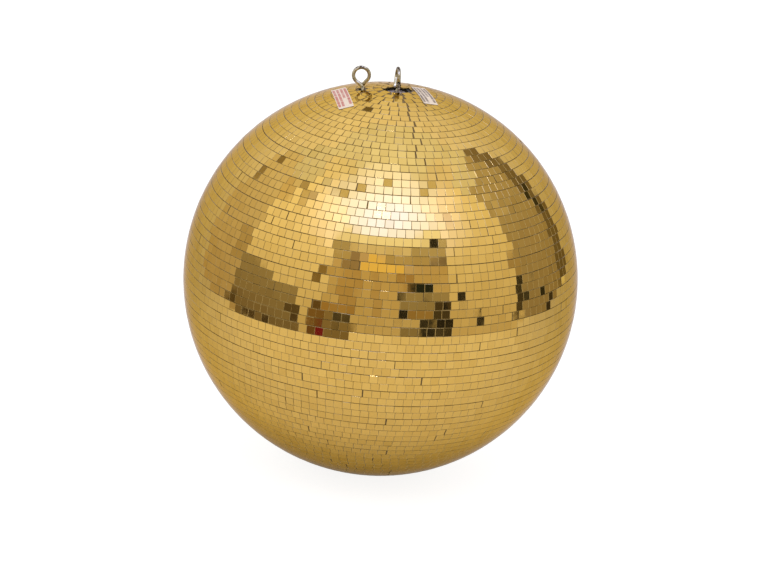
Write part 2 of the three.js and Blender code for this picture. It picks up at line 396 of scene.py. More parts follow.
def revolved(name, profile, segments, material, axis=Vector((0, 0, 1)), sharp=40):
    """Turns a closed profile of (distance, height) points about an axis through the ball's centre."""
    turn = Vector((0, 0, 1)).rotation_difference(axis)
    vertices = []
    for i in range(segments):
        angle = 2 * math.pi * i / segments
        for distance, height in profile:
            point = Vector((distance * math.cos(angle), distance * math.sin(angle), height))
            vertices.append(CENTRE + turn @ point)
    piece = new_object(name, vertices, ring_faces(segments, len(profile)), [material], smooth=True)
    mark_sharp(piece, sharp)
    return piece


def mark_sharp(piece, degrees):
    piece.data.set_sharp_from_angle(angle=math.radians(degrees))


def finish_piece(piece, body, slot, *nodes):
    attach(piece, body)
    if nodes:
        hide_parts(*nodes)
    return piece


# ---- Mosaic

STRIP_LENGTH = 370 * MM  # tiles come glued to a cloth in strips of about this length
STRIP_COUNT_SPREAD = 0.6
STRIP_JOINTS = (0.5 * MM, 1.5 * MM)
STRIP_START_SPREAD = 0.3  # share of a strip
STRIP_LIFT = 0.15 * MM
STRIP_SLOPE = 0.0009
SCORE_GAP = 0.10 * MM
LEAST_GAP = 0.3  # share of the mean gap
GAP_SPREAD = 0.4
CROWN_GAP_SPREAD = 1.1
CROWN_ABOVE = math.radians(66)
ONE_STRIP_ABOVE = math.radians(52)
SEAM_LONGITUDE = math.radians(13.5)
SEAM_SPREAD = 0.02
ROW_LIFT_SPREAD = 0.05 * MM
TILE_LIFT_SPREAD = 0.015 * MM
TILE_SINK = 0.05 * MM
TILE_SIZE_SPREAD = (0.02 * MM, 0.03 * MM)
TWIST_SPREAD = 0.005
SHADE_SPREAD = 0.2
# Tilts in radians. Each tile keeps a share of its neighbour's lean; now and then a short run lies badly
LEAN_AT_START = 0.0035
LEAN_KEPT = 0.8
LEAN_SPREAD = 0.0034
BAD_RUN_CHANCE = 0.007
BAD_RUN_TILES = (1, 4)
BAD_LEANS = (0.012, 0.022)

SAFETY_HOLE_R = 6.6 * MM
SAFETY_HOLE_SHIFT = Vector((-1.6, -0.6, 0)) * MM
HOLE_SWING = 0.4
HOLE_ROUGHNESS = (0.92, 1.12)
HOLE_REACH = 0.75 * TILE
# Edge of the rough hole at the upper pole: (longitude in degrees, distance from the axis in mm)
POLE_HOLE_EDGE = ((0, 14.5), (35, 15.5), (60, 21), (80, 25), (100, 19), (125, 9.5), (180, 5.0),
                  (235, 5.0), (258, 8.5), (268, 17.5), (278, 17.5), (290, 12.5), (325, 13.5), (360, 14.5))
POLE_PIECES = 5
POLE_PIECES_FROM = math.radians(110)
POLE_PIECE_STEP = math.radians(37.5)
POLE_PIECE_GAP = 0.35 * MM
POLE_PIECE_TURN_SPREAD = 0.03
POLE_PIECE_LEAN = 0.01


def clipped(outline, normal, limit):
    """The part of a convex outline on the far side of a line: normal . point >= limit."""
    kept = []
    for i, point in enumerate(outline):
        following = outline[(i + 1) % len(outline)]
        here = normal[0] * point[0] + normal[1] * point[1] - limit
        there = normal[0] * following[0] + normal[1] * following[1] - limit
        if here >= 0:
            kept.append(point)
        if (here >= 0) != (there >= 0):
            share = here / (here - there)
            kept.append(tuple(a + (b - a) * share for a, b in zip(point, following)))
    return kept


LEAST_MITRE = 0.2


def inset(outline, distance):
    """A convex outline moved in by a distance, point for point. The outline runs anticlockwise."""
    moved = []
    count = len(outline)
    for i in range(count):
        before, here, after = (Vector(outline[(i + k) % count]) for k in (-1, 0, 1))
        first = (here - before).normalized()
        second = (after - here).normalized()
        inward_first = Vector((-first.y, first.x))
        inward_second = Vector((-second.y, second.x))
        bisector = inward_first + inward_second
        moved.append(here + bisector * (distance / max(LEAST_MITRE, bisector.dot(inward_first))))
    return moved


class Mosaic:
    """Gathers the tiles of one band into one mesh."""

    def __init__(self, rng):
        self.rng = rng
        self.vertices = []
        self.faces = []
        self.materials = []
        self.shades = []

    def add_face(self, face, material, shade):
        self.faces.append(face)
        self.materials.append(material)
        self.shades.append(shade)

    def add_tile(self, outline, middle, east, north, out, shade):
        """A slab with small ground edges round its face. The outline is in metres along east and north."""
        if len(outline) < 3:
            return
        start = len(self.vertices)
        count = len(outline)
        ground = self.rng.uniform(*CHAMFER_DEPTHS)
        width = self.rng.uniform(*CHAMFER_WIDTHS)
        slant = Vector((BREAK_SLANT * width, 0))
        face = [point + slant for point in inset(outline, width)]
        for points, depth in ((face, 0.0), (outline, ground), (outline, TILE_T)):
            for x, y in points:
                self.vertices.append(middle + x * east + y * north - depth * out)
        self.add_face(tuple(start + i for i in range(count)), 0, shade)
        for ring in (0, 1):
            top = start + ring * count
            for i in range(count):
                after = (i + 1) % count
                # Edges across the rows get 1 and show lighter; edges along the rows get 0 and show darker,
                # partly as painted shade.
                runs_up = abs(outline[after][1] - outline[i][1]) > abs(outline[after][0] - outline[i][0])
                edge = (top + i, top + count + i, top + count + after, top + after)
                self.add_face(edge, 1, 1.0 if runs_up else 0.0)
        self.add_face(tuple(start + 3 * count - 1 - i for i in range(count)), 1, 0.0)

    def finish(self, name, materials):
        piece = new_object(name, self.vertices, self.faces, materials, self.materials)
        shade = piece.data.attributes.new("tile_shade", "FLOAT", "FACE")
        shade.data.foreach_set("value", self.shades)
        return piece


def row_plan(rng, latitude):
    """Yields (longitude, height offset, tilt east, tilt north) of each tile of one row."""
    poleward = BALL_R * math.cos(abs(latitude) + TILE / 2 / BALL_R)
    around = 2 * math.pi * poleward
    one_strip = abs(latitude) > ONE_STRIP_ABOVE
    spread = STRIP_COUNT_SPREAD
    strips = 1 if one_strip else max(2, round(around / STRIP_LENGTH + rng.uniform(-spread, spread)))
    joints_at = [rng.uniform(*STRIP_JOINTS) for _ in range(strips)]
    count = int((around - sum(joints_at)) / (TILE + SCORE_GAP))
    loose = GAP_SPREAD if abs(latitude) < CROWN_ABOVE else CROWN_GAP_SPREAD
    gaps = [max(LEAST_GAP, 1 + loose * rng.gauss(0, 1)) for _ in range(count)]
    free = around - sum(joints_at) - count * TILE
    total = sum(gaps)
    gaps = [gap * free / total for gap in gaps]
    starts = {0: joints_at[0]}
    for k in range(1, strips):
        early = rng.uniform(-STRIP_START_SPREAD, STRIP_START_SPREAD)
        starts[int((k + early) * count / strips)] = joints_at[k]
    for k, joint in starts.items():
        gaps[k] += joint
    seam = SEAM_LONGITUDE + rng.gauss(0, SEAM_SPREAD) if one_strip else rng.uniform(0, 2 * math.pi)
    travelled = run_start = slope = 0.0
    lift = rng.gauss(0, ROW_LIFT_SPREAD)
    lean = [rng.gauss(0, LEAN_AT_START), rng.gauss(0, LEAN_AT_START)]
    bad_run = 0
    bad_lean = (0.0, 0.0)
    for k in range(count):
        travelled += gaps[k]
        if k in starts:
            lift = rng.uniform(-STRIP_LIFT, STRIP_LIFT)
            slope = rng.gauss(0, STRIP_SLOPE)
            run_start = travelled
        travelled += TILE / 2
        lean = [LEAN_KEPT * value + rng.gauss(0, LEAN_SPREAD) for value in lean]
        if bad_run == 0 and rng.random() < BAD_RUN_CHANCE:
            bad_run = rng.randint(*BAD_RUN_TILES)
            bad_lean = tuple(rng.gauss(0, worst) for worst in BAD_LEANS)
        extra = bad_lean if bad_run else (0.0, 0.0)
        bad_run = max(0, bad_run - 1)
        offset = lift + slope * (travelled - run_start)
        offset = max(-STRIP_LIFT, min(STRIP_LIFT, offset)) + rng.gauss(0, TILE_LIFT_SPREAD)
        yield seam + travelled / poleward, offset, lean[0] + extra[0], lean[1] + extra[1]
        travelled += TILE / 2


def tile_square(rng):
    x = TILE / 2 + rng.gauss(0, TILE_SIZE_SPREAD[0])
    y = (TILE - TILE_SHORT) / 2 + rng.gauss(0, TILE_SIZE_SPREAD[1])
    return [(-x, -y), (x, -y), (x, y), (-x, y)]


def pole_hole_reach(longitude):
    """Distance from the axis to the hole's rough edge at a longitude."""
    place = math.degrees(longitude) % 360
    for (start, near), (end, far) in zip(POLE_HOLE_EDGE, POLE_HOLE_EDGE[1:]):
        if place <= end:
            return (near + (far - near) * (place - start) / (end - start)) * MM
    return POLE_HOLE_EDGE[-1][1] * MM


def broken_round(rng, outline, middle, east, north, hole, clear):
    """Clips a tile that reaches into a hole, along two rough lines."""
    to_hole = hole - middle
    local = Vector((to_hole.dot(east), to_hole.dot(north)))
    if local.length > clear + HOLE_REACH:
        return outline
    for _ in range(2):
        swing = rng.uniform(-HOLE_SWING, HOLE_SWING)
        away = Matrix.Rotation(swing, 2) @ -local.normalized()
        reach = local.dot(away) + clear * rng.uniform(*HOLE_ROUGHNESS)
        outline = clipped(outline, away, reach)
    return outline


def place_tile(rng, mosaic, longitude, latitude, tilt_east, tilt_north, shape):
    """Sets one tile on the ball. shape cuts its outline, given the tile's middle and its own axes."""
    out = direction(longitude, latitude)
    east = Vector((math.cos(longitude), math.sin(longitude), 0))
    north = out.cross(east)
    out = (out + tilt_east * east + tilt_north * north).normalized()
    twist = rng.gauss(0, TWIST_SPREAD)
    north = (north + twist * east - out * out.dot(north + twist * east)).normalized()
    east = north.cross(out)
    sunk = (TILE / 2) ** 2 / BALL_R + abs(tilt_east) * TILE / 4 + abs(tilt_north) * TILE / 4
    middle = on_ball(longitude, latitude, BALL_R - sunk - rng.random() * TILE_SINK)
    shade = min(1.0, max(0.0, rng.gauss(0.5, SHADE_SPREAD)))
    mosaic.add_tile(shape(tile_square(rng), middle, east, north), middle, east, north, out, shade)


def place_row(rng, mosaic, row):
    """Lays one row. Row 0 is the first below the upper pole."""
    latitude = (ROW_COUNT / 2 - row - 0.5) * ROW_PITCH
    main_hole = CENTRE + Vector((0, 0, BALL_R))
    safety_hole = CENTRE + SAFETY_AXIS * BALL_R + SAFETY_HOLE_SHIFT
    for longitude, offset, tilt_east, tilt_north in row_plan(rng, latitude):

        def shape(outline, middle, east, north):
            if row >= ROWS_PER_BAND:
                return outline
            reach = pole_hole_reach(longitude)
            outline = broken_round(rng, outline, middle, east, north, main_hole, reach)
            return broken_round(rng, outline, middle, east, north, safety_hole, SAFETY_HOLE_R)

        place_tile(rng, mosaic, longitude, latitude + offset / BALL_R, tilt_east, tilt_north, shape)


def place_pole_pieces(rng, mosaic):
    """The few tiles cut narrower to fit behind the hanging eye, nearer the pole than the first row."""
    latitude = (ROW_COUNT / 2 + 0.5) * ROW_PITCH
    from_axis = BALL_R * math.cos(latitude)
    side = math.cos(POLE_PIECE_STEP / 2)
    down = math.sin(POLE_PIECE_STEP / 2)
    main_hole = CENTRE + Vector((0, 0, BALL_R))
    for k in range(POLE_PIECES):
        longitude = POLE_PIECES_FROM + k * POLE_PIECE_STEP + rng.gauss(0, POLE_PIECE_TURN_SPREAD)

        def shape(outline, middle, east, north):
            limit = POLE_PIECE_GAP - from_axis * down
            outline = clipped(outline, (side, -down), limit)
            outline = clipped(outline, (-side, -down), limit)
            return broken_round(rng, outline, middle, east, north, main_hole, pole_hole_reach(longitude))

        tilts = (rng.gauss(0, POLE_PIECE_LEAN), rng.gauss(0, POLE_PIECE_LEAN))
        place_tile(rng, mosaic, longitude, latitude, *tilts, shape)


BED_STEPS = (240, 6)


def glue_bed(name, low, high, top, material, hole=None):
    """The thin bed under one band, left open round the safety eye."""
    around, up = BED_STEPS
    vertices = []
    faces = []
    for radius in (top, BED_BOTTOM):
        for k in range(up + 1):
            for i in range(around):
                vertices.append(on_ball(2 * math.pi * i / around, low + (high - low) * k / up, radius))
    layer = (up + 1) * around

    def corner(i, k, below):
        return below * layer + k * around + i % around

    def is_open(i, k):
        if hole is None:
            return False
        middle = (vertices[corner(i, k, 0)] + vertices[corner(i + 1, k + 1, 0)]) / 2
        return (middle - hole).length < SAFETY_HOLE_R

    for k in range(up):
        for i in range(around):
            if is_open(i, k):
                continue
            patch = [corner(i, k, 0), corner(i + 1, k, 0), corner(i + 1, k + 1, 0), corner(i, k + 1, 0)]
            faces.append(tuple(patch))
            faces.append(tuple(v + layer for v in reversed(patch)))
            for side, (di, dk) in enumerate(((0, -1), (1, 0), (0, 1), (-1, 0))):
                beyond = k + dk
                if 0 <= beyond < up and not is_open((i + di) % around, beyond):
                    continue
                first, second = patch[side], patch[(side + 1) % 4]
                faces.append((first + layer, second + layer, second, first))
    return new_object(name, vertices, faces, [material], smooth=False)


def make_mosaic(mirror, edge, glue):
    rng = random.Random(SEED)
    for number, first in enumerate(range(0, ROW_COUNT, ROWS_PER_BAND), start=1):
        rows = range(first, min(first + ROWS_PER_BAND, ROW_COUNT))
        mosaic = Mosaic(rng)
        for row in rows:
            place_row(rng, mosaic, row)
        if first == 0:
            place_pole_pieces(rng, mosaic)
        node = f"mirror_band_{number:02d}"
        tiles = mosaic.finish(f"tiles_{number:02d}", [mirror, edge])
        high = (ROW_COUNT / 2 - rows[0]) * ROW_PITCH
        low = (ROW_COUNT / 2 - rows[-1] - 1) * ROW_PITCH
        hole = CENTRE + SAFETY_AXIS * BED_TOP + SAFETY_HOLE_SHIFT if number == 1 else None
        top = BED_TOP + (CROWN_BED_RAISE if number <= CROWN_BANDS else 0)
        bed = glue_bed(f"glue_bed_{number:02d}", low, high, top, glue, hole)
        finish_piece(tiles, "ball", "gold_mirror", node)
        finish_piece(bed, "ball", "core_plastic")


POLE_TILE_SIDES = 48


def make_pole_tile(mirror, edge):
    """The round mirror piece at the lower pole."""
    low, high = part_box("lower_pole_tile")
    radius = (high.x - low.x) / 2
    mosaic = Mosaic(random.Random(SEED + 1))
    angles = [2 * math.pi * i / POLE_TILE_SIDES for i in range(POLE_TILE_SIDES)]
    outline = [(radius * math.cos(angle), radius * math.sin(angle)) for angle in angles]
    middle = Vector((0, 0, low.z))
    mosaic.add_tile(outline, middle, Vector((1, 0, 0)), Vector((0, -1, 0)), Vector((0, 0, -1)), 0.5)
    finish_piece(mosaic.finish("pole_tile", [mirror, edge]), "ball", "gold_mirror", "lower_pole_tile")


# ---- Core

CORE_R = 247.3 * MM
CORE_T = 2.5 * MM
PANEL_R = 14.5 * MM
PANEL_TOP = 243.7 * MM
SHANK_HOLE_R = 2.85 * MM
LIP_HEIGHT = 8 * MM
LIP_ROOT = 10 * MM
LIP_ROOT_LATITUDE = -8
LIP_GAP = 1 * MM
LIP_T = 2 * MM
RIM_NOTCH = 8.5944 * MM  # depth of the notch between the lower shell's rim and its lip
SHELL_GAP = 0.15 * MM  # half the joint between the shells
POLE_DOT = 0.2 * MM  # leaves the lower shell's pole open by a pinhole
POLE_LATITUDE = -89.5
SHELL_SIDES = 180
ARC_STEPS = 60
DRILL = (200 * MM, 260 * MM)
DRILL_AXIS_R = 0.01 * MM
DRILL_SIDES = 24


def arc(radius, start, end):
    """Profile points (distance, height) along a sphere, between two latitudes in degrees."""
    points = []
    for i in range(ARC_STEPS + 1):
        latitude = math.radians(start + (end - start) * i / ARC_STEPS)
        points.append((radius * math.cos(latitude), radius * math.sin(latitude)))
    return points


def make_core(plastic):
    inner = CORE_R - CORE_T
    wall = PANEL_R + CORE_T
    panel_latitude = math.degrees(math.acos(PANEL_R / CORE_R))
    wall_latitude = math.degrees(math.acos(wall / inner))
    seam = math.degrees(SHELL_GAP / CORE_R)
    upper = arc(CORE_R, seam, panel_latitude)
    upper += [(PANEL_R, PANEL_TOP), (SHANK_HOLE_R, PANEL_TOP), (SHANK_HOLE_R, PANEL_TOP - CORE_T)]
    upper += [(wall, PANEL_TOP - CORE_T)] + arc(inner, wall_latitude, seam)
    shell = revolved("upper_half_shell", upper, SHELL_SIDES, plastic)
    drill_safety_hole(shell)
    finish_piece(shell, "ball", "core_plastic", "core_upper_shell")

    lip_outer = inner - LIP_GAP
    lip_inner = lip_outer - LIP_T
    lower = [(POLE_DOT, -CORE_R)] + arc(CORE_R, POLE_LATITUDE, -seam)
    lower += [(lip_outer, -RIM_NOTCH), (lip_outer, LIP_HEIGHT)]
    lower += [(lip_inner, LIP_HEIGHT), (lip_inner, -LIP_ROOT)]
    lower += arc(inner, LIP_ROOT_LATITUDE, POLE_LATITUDE) + [(POLE_DOT, -inner)]
    shell = revolved("lower_half_shell", lower, SHELL_SIDES, plastic)
    finish_piece(shell, "ball", "core_plastic", "core_lower_shell")


def drill_safety_hole(shell):
    """Cuts the safety eye's hole through the upper shell."""
    low, high = DRILL
    profile = [(DRILL_AXIS_R, low), (SHANK_HOLE_R, low), (SHANK_HOLE_R, high), (DRILL_AXIS_R, high)]
    drill = revolved("drill", profile, DRILL_SIDES, shell.data.materials[0], axis=SAFETY_AXIS)
    cut = shell.modifiers.new("hole", "BOOLEAN")
    cut.operation = "DIFFERENCE"
    cut.solver = "EXACT"
    cut.object = drill
    apply_modifiers(shell)
    bpy.data.objects.remove(drill)


def apply_modifiers(piece):
    bpy.context.view_layer.update()
    evaluated = piece.evaluated_get(bpy.context.evaluated_depsgraph_get())
    mesh = bpy.data.meshes.new_from_object(evaluated)
    piece.modifiers.clear()
    piece.data = mesh


# ---- Eyes and their hardware

WIRE_R = 2.25 * MM
RING_R = 9.75 * MM
RING_OPEN = math.radians(42)
RING_LEAN = 1.4 * MM
SHOULDER = Vector((3.0, 2.1, -10.3)) * MM
NECK = Vector((0.3, 2.3, -14.0)) * MM
WIRE_END = Vector((-0.5, -2.45, -13.9)) * MM
STRAIGHT_DROP = 20 * MM
MAIN_TURN = math.radians(-86)
WIRE_SIDES = 28
WIRE_STEPS = 12  # steps between two points of the wire's line
SHANK_SPANS = 4
RING_SPANS = 14
WIRE_END_ROUNDING = 0.5 * MM
WIRE_END_SHARE = 0.75  # of the wire's radius, at its blunt ends
THREAD_PITCH = 0.8 * MM
THREAD_DEPTH = 0.42 * MM
THREAD_TOP = 243 * MM
WEAR_FROM, WEAR_GAIN = 0.55, 3
# Distances from the ball's centre, along each eye's shank
MAIN_RING, MAIN_SHANK_END = 265 * MM, 225 * MM
SAFETY_RING, SAFETY_SHANK_END = 267.3 * MM, 231 * MM
SAFETY_NUT = (235.7 * MM, 240.7 * MM)
SAFETY_WASHER = (241 * MM, 243 * MM)
SAFETY_WASHER_R = 12 * MM
TURN_MAIN = Matrix.Rotation(MAIN_TURN, 3, "Z")
TURN_SAFETY = Vector((0, 0, 1)).rotation_difference(SAFETY_AXIS).to_matrix()


def catmull(points):
    """A smooth line through points, as the frame's wire runs (centripetal Catmull-Rom)."""
    ends = [points[0] * 2 - points[1]] + points + [points[-1] * 2 - points[-2]]
    line = []
    for i in range(1, len(ends) - 2):
        p0, p1, p2, p3 = ends[i - 1:i + 3]
        t0 = max((p1 - p0).length, 1e-9) ** 0.5
        t1 = max((p2 - p1).length, 1e-9) ** 0.5
        t2 = max((p3 - p2).length, 1e-9) ** 0.5
        m1 = ((p1 - p0) / t0 - (p2 - p0) / (t0 + t1) + (p2 - p1) / t1) * t1
        m2 = ((p2 - p1) / t1 - (p3 - p1) / (t1 + t2) + (p3 - p2) / t2) * t1
        for k in range(WIRE_STEPS):
            t = k / WIRE_STEPS
            line.append((2 * t ** 3 - 3 * t ** 2 + 1) * p1 + (t ** 3 - 2 * t ** 2 + t) * m1
                        + (-2 * t ** 3 + 3 * t ** 2) * p2 + (t ** 3 - t ** 2) * m2)
    line.append(points[-1].copy())
    return line


def eye_line(ring, shank_end):
    """The wire's middle line in the eye's own axes: x across the ring, z along the shank."""
    middle = Vector((0, 0, ring))
    straight_end = ring - STRAIGHT_DROP
    rise = (straight_end - shank_end) / SHANK_SPANS
    points = [Vector((0, 0, shank_end + rise * i)) for i in range(SHANK_SPANS + 1)]
    points += [middle + NECK, middle + SHOULDER]
    for i in range(RING_SPANS + 1):
        share = i / RING_SPANS
        angle = (math.pi + 2 * RING_OPEN) * share - RING_OPEN
        lean = RING_LEAN * (1 - 2 * share)
        points.append(middle + Vector((RING_R * math.cos(angle), lean, RING_R * math.sin(angle))))
    points.append(middle + Vector((-SHOULDER.x, -SHOULDER.y, SHOULDER.z)))
    points.append(middle + WIRE_END)
    return catmull(points)


def wire_eye(name, ring, shank_end, turn, material):
    """A bent wire eye: rolled thread on the shank, a ring with a worn top, and a blunt cut end."""
    line = eye_line(ring, shank_end)
    travelled = [0.0]
    for before, after in zip(line, line[1:]):
        travelled.append(travelled[-1] + (after - before).length)
    total = travelled[-1]
    vertices = []
    wear = []
    side = Vector((1, 0, 0))
    for i, (point, at) in enumerate(zip(line, travelled)):
        along = (line[min(i + 1, len(line) - 1)] - line[max(i - 1, 0)]).normalized()
        side = (side - along * along.dot(side)).normalized()
        other = along.cross(side)
        from_end = min(1.0, min(at, total - at) / WIRE_END_ROUNDING)
        rounded = math.sqrt(max(0.0, 1 - (1 - from_end) ** 2))
        threaded = point.z < THREAD_TOP and at < total / 2
        for k in range(WIRE_SIDES):
            angle = 2 * math.pi * k / WIRE_SIDES
            radius = WIRE_R * (WIRE_END_SHARE + (1 - WIRE_END_SHARE) * rounded)
            if threaded:
                turns = point.z / THREAD_PITCH + k / WIRE_SIDES
                radius += THREAD_DEPTH * (abs((turns % 1) * 2 - 1) - 1)
            spot = point + side * (radius * math.cos(angle)) + other * (radius * math.sin(angle))
            top = (spot.z - ring) / (RING_R + WIRE_R)
            wear.append(max(0.0, top - WEAR_FROM) * WEAR_GAIN)
            vertices.append(CENTRE + turn @ spot)
    faces = [(a, d, c, b) for a, b, c, d in ring_faces(len(line), WIRE_SIDES, closed=False)]
    faces.append(tuple(reversed(range(WIRE_SIDES))))
    faces.append(tuple(range(len(vertices) - WIRE_SIDES, len(vertices))))
    piece = new_object(name, vertices, faces, [material], smooth=True)
    worn = piece.data.attributes.new("wear", "FLOAT", "POINT")
    worn.data.foreach_set("value", wear)
    mark_sharp(piece, 50)
    return piece


def make_eyes(steel):
    main = wire_eye("hanging_eye", MAIN_RING, MAIN_SHANK_END, TURN_MAIN, steel)
    finish_piece(main, "main_eye", "eye_steel", "main_eye_bolt")
    safety = wire_eye("safety_eye", SAFETY_RING, SAFETY_SHANK_END, TURN_SAFETY, steel)
    finish_piece(safety, "safety_eye", "eye_steel", "safety_eye_bolt")


WASHER_ROUNDING = 0.25 * MM
WASHER_SIDES = 72
QUARTER_STEPS = 4
THRUST_WASHER_HOLE_R = 2.6 * MM


def washer_profile(hole, outer, bottom, top):
    """Closed profile of a washer with rounded edges."""
    points = []
    rounding = WASHER_ROUNDING
    corners = ((hole, bottom, 180, 270), (outer, bottom, 270, 360), (outer, top, 0, 90), (hole, top, 90, 180))
    for x, z, start, end in corners:
        cx = x + rounding if x == hole else x - rounding
        cz = z + rounding if z == bottom else z - rounding
        for i in range(QUARTER_STEPS + 1):
            angle = math.radians(start + (end - start) * i / QUARTER_STEPS)
            points.append((cx + rounding * math.cos(angle), cz + rounding * math.sin(angle)))
    return points


def make_washers(zinc):
    for name, node, body, hole in (
            ("pole_washer_disc", "pole_washer", "ball", SHANK_HOLE_R),
            ("backing_plate", "main_backing_plate", "ball", SHANK_HOLE_R),
            ("thrust_washer", "main_thrust_washer", "main_eye", THRUST_WASHER_HOLE_R)):
        low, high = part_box(node)
        outer = (high.x - low.x) / 2
        profile = washer_profile(hole, outer, low.z - CENTRE.z, high.z - CENTRE.z)
        finish_piece(revolved(name, profile, WASHER_SIDES, zinc), body, "washer_steel", node)
    profile = washer_profile(SHANK_HOLE_R, SAFETY_WASHER_R, *SAFETY_WASHER)
    washer = revolved("safety_backing_disc", profile, WASHER_SIDES, zinc, axis=SAFETY_AXIS)
    finish_piece(washer, "ball", "washer_steel", "safety_backing_washer")


NUT_ACROSS = 8 * MM
NUT_BORE_R = 2.55 * MM
NUT_COLLAR_R = 3.4 * MM
NUT_SIDES = 72
FIRST_NYLON_RING = 10


def hexagon_radius(angle, across):
    """Distance from the middle to a hexagon's side at an angle."""
    from_flat = (angle + math.pi / 6) % (math.pi / 3) - math.pi / 6
    return across / 2 / math.cos(from_flat)


def lock_nut(name, bottom, top, turn, steel, nylon):
    """A hexagon nut with chamfered corners and a raised collar that holds a nylon ring."""
    height = top - bottom
    # (radius, height, whether the hexagon cuts it)
    rows = (
        (NUT_BORE_R, bottom + 0.3 * MM, False), (NUT_BORE_R + 0.3 * MM, bottom, False),
        (3.7 * MM, bottom, False), (4.3 * MM, bottom + 0.3 * MM, True),
        (4.7 * MM, bottom + 0.6 * MM, True), (4.7 * MM, bottom + 0.72 * height, True),
        (4.2 * MM, bottom + 0.8 * height, True), (NUT_COLLAR_R + 0.4 * MM, bottom + 0.8 * height, False),
        (NUT_COLLAR_R + 0.1 * MM, top - 0.3 * MM, False), (NUT_COLLAR_R - 0.2 * MM, top, False),
        (NUT_COLLAR_R - 0.6 * MM, top - 0.1 * MM, False), (NUT_BORE_R, top - 0.4 * MM, False),
    )
    vertices = []
    for i in range(NUT_SIDES):
        angle = 2 * math.pi * i / NUT_SIDES
        for radius, z, hexagonal in rows:
            if hexagonal:
                radius = min(radius, hexagon_radius(angle, NUT_ACROSS))
            vertices.append(CENTRE + turn @ Vector((radius * math.cos(angle), radius * math.sin(angle), z)))
    faces = ring_faces(NUT_SIDES, len(rows))
    indices = [int(k >= FIRST_NYLON_RING) for k in range(len(rows))] * NUT_SIDES
    piece = new_object(name, vertices, faces, [steel, nylon], indices, smooth=True)
    mark_sharp(piece, 25)
    return piece


def make_nuts(steel, nylon):
    low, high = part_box("main_lock_nut")
    main = (low.z - CENTRE.z, high.z - CENTRE.z)
    nut = lock_nut("hanging_eye_nut", *main, TURN_MAIN, steel, nylon)
    finish_piece(nut, "main_eye", "eye_steel", "main_lock_nut")
    nut = lock_nut("safety_eye_nut", *SAFETY_NUT, TURN_SAFETY, steel, nylon)
    finish_piece(nut, "safety_eye", "eye_steel", "safety_lock_nut")


# ---- Labels


def label_frame(latitude, longitude, heading):
    """Rotation that lays +Z on the ball at a place, with +X along the label's heading seen from above."""
    turn = Matrix.Rotation(math.radians(longitude), 3, "Z")
    tip = Matrix.Rotation(math.radians(90 - latitude), 3, "X")
    spin = Matrix.Rotation(math.radians(heading - longitude), 3, "Z")
    return turn @ tip @ spin


SHEET_STEPS = (56, 16)
# The sheet's height over the ball, its thickness and its lifted corners, in millimetres
SHEET_LIFT = 0.18
SHEET_T = 0.12
CORNER_LIFT = 0.35
CORNER_SHARPNESS = 8
FULL_WAVE = 6.28
RIPPLES = ((0.05, 9, 5), (0.03, 31, 17))  # (height, how fast it waves along, and across)


def paper_sheet(name, node, length, width, place, material):
    """A thin sheet that follows the tiles, with small ripples and slightly lifted corners."""
    rng = random.Random(SEED + len(name))
    along_steps, across_steps = SHEET_STEPS
    ripples = [(*ripple, rng.uniform(0, FULL_WAVE), rng.uniform(0, FULL_WAVE)) for ripple in RIPPLES]
    vertices = []
    uvs = []
    for layer in (0, 1):
        for i in range(along_steps + 1):
            for k in range(across_steps + 1):
                u = i / along_steps
                v = k / across_steps
                x = (u - 0.5) * length / BALL_R
                y = (v - 0.5) * width / BALL_R
                lift = SHEET_LIFT + (1 - layer) * SHEET_T
                lift += CORNER_LIFT * (abs(2 * u - 1) * abs(2 * v - 1)) ** CORNER_SHARPNESS
                for height, along, across, phase_u, phase_v in ripples:
                    lift += height * math.sin(along * u + phase_u) * math.sin(across * v + phase_v)
                spot = Vector((math.sin(x), math.sin(y) * math.cos(x), math.cos(y) * math.cos(x)))
                vertices.append(CENTRE + place @ (spot * (BALL_R + lift * MM)))
                uvs.append((u, v))
    across = across_steps + 1
    layer_size = (along_steps + 1) * across
    faces = []
    for i in range(along_steps):
        for k in range(across_steps):
            a, b = i * across + k, (i + 1) * across + k
            faces.append((a, b, b + 1, a + 1))
            faces.append((a + 1 + layer_size, b + 1 + layer_size, b + layer_size, a + layer_size))
    rim = [i * across for i in range(along_steps + 1)]
    rim += [along_steps * across + k for k in range(1, across_steps + 1)]
    rim += [i * across + across_steps for i in range(along_steps - 1, -1, -1)]
    rim += [k for k in range(across_steps - 1, 0, -1)]
    for first, second in zip(rim, rim[1:] + rim[:1]):
        faces.append((first + layer_size, second + layer_size, second, first))
    piece = new_object(name, vertices, faces, [material], smooth=True)
    add_uvs(piece, "sheet", uvs)
    mark_sharp(piece, 50)
    finish_piece(piece, "ball", "label_paper", node)


# Printed bars of both labels: (middle across, end along), as shares of the sheet
LABEL_BARS = ((0.13, 0.93), (0.37, 0.93), (0.62, 0.62), (0.86, 0.9))
# (name, node, length, width, (latitude, longitude, heading) in degrees, material, ink)
LABELS = (
    ("left_label", "left_paper_label", 75 * MM, 19 * MM, (73.6, -70.3, -80),
     "paper_red_bars", (0.40, 0.085, 0.070)),
    ("right_label", "right_paper_label", 61 * MM, 18.5 * MM, (81.7, 74, -72.5),
     "paper_grey_bars", (0.10, 0.068, 0.045)),
)


def make_labels():
    for name, node, length, width, place, paper, ink in LABELS:
        material = printed_paper(paper, ink, length, LABEL_BARS)
        paper_sheet(name, node, length, width, label_frame(*place), material)


# ---- Studio

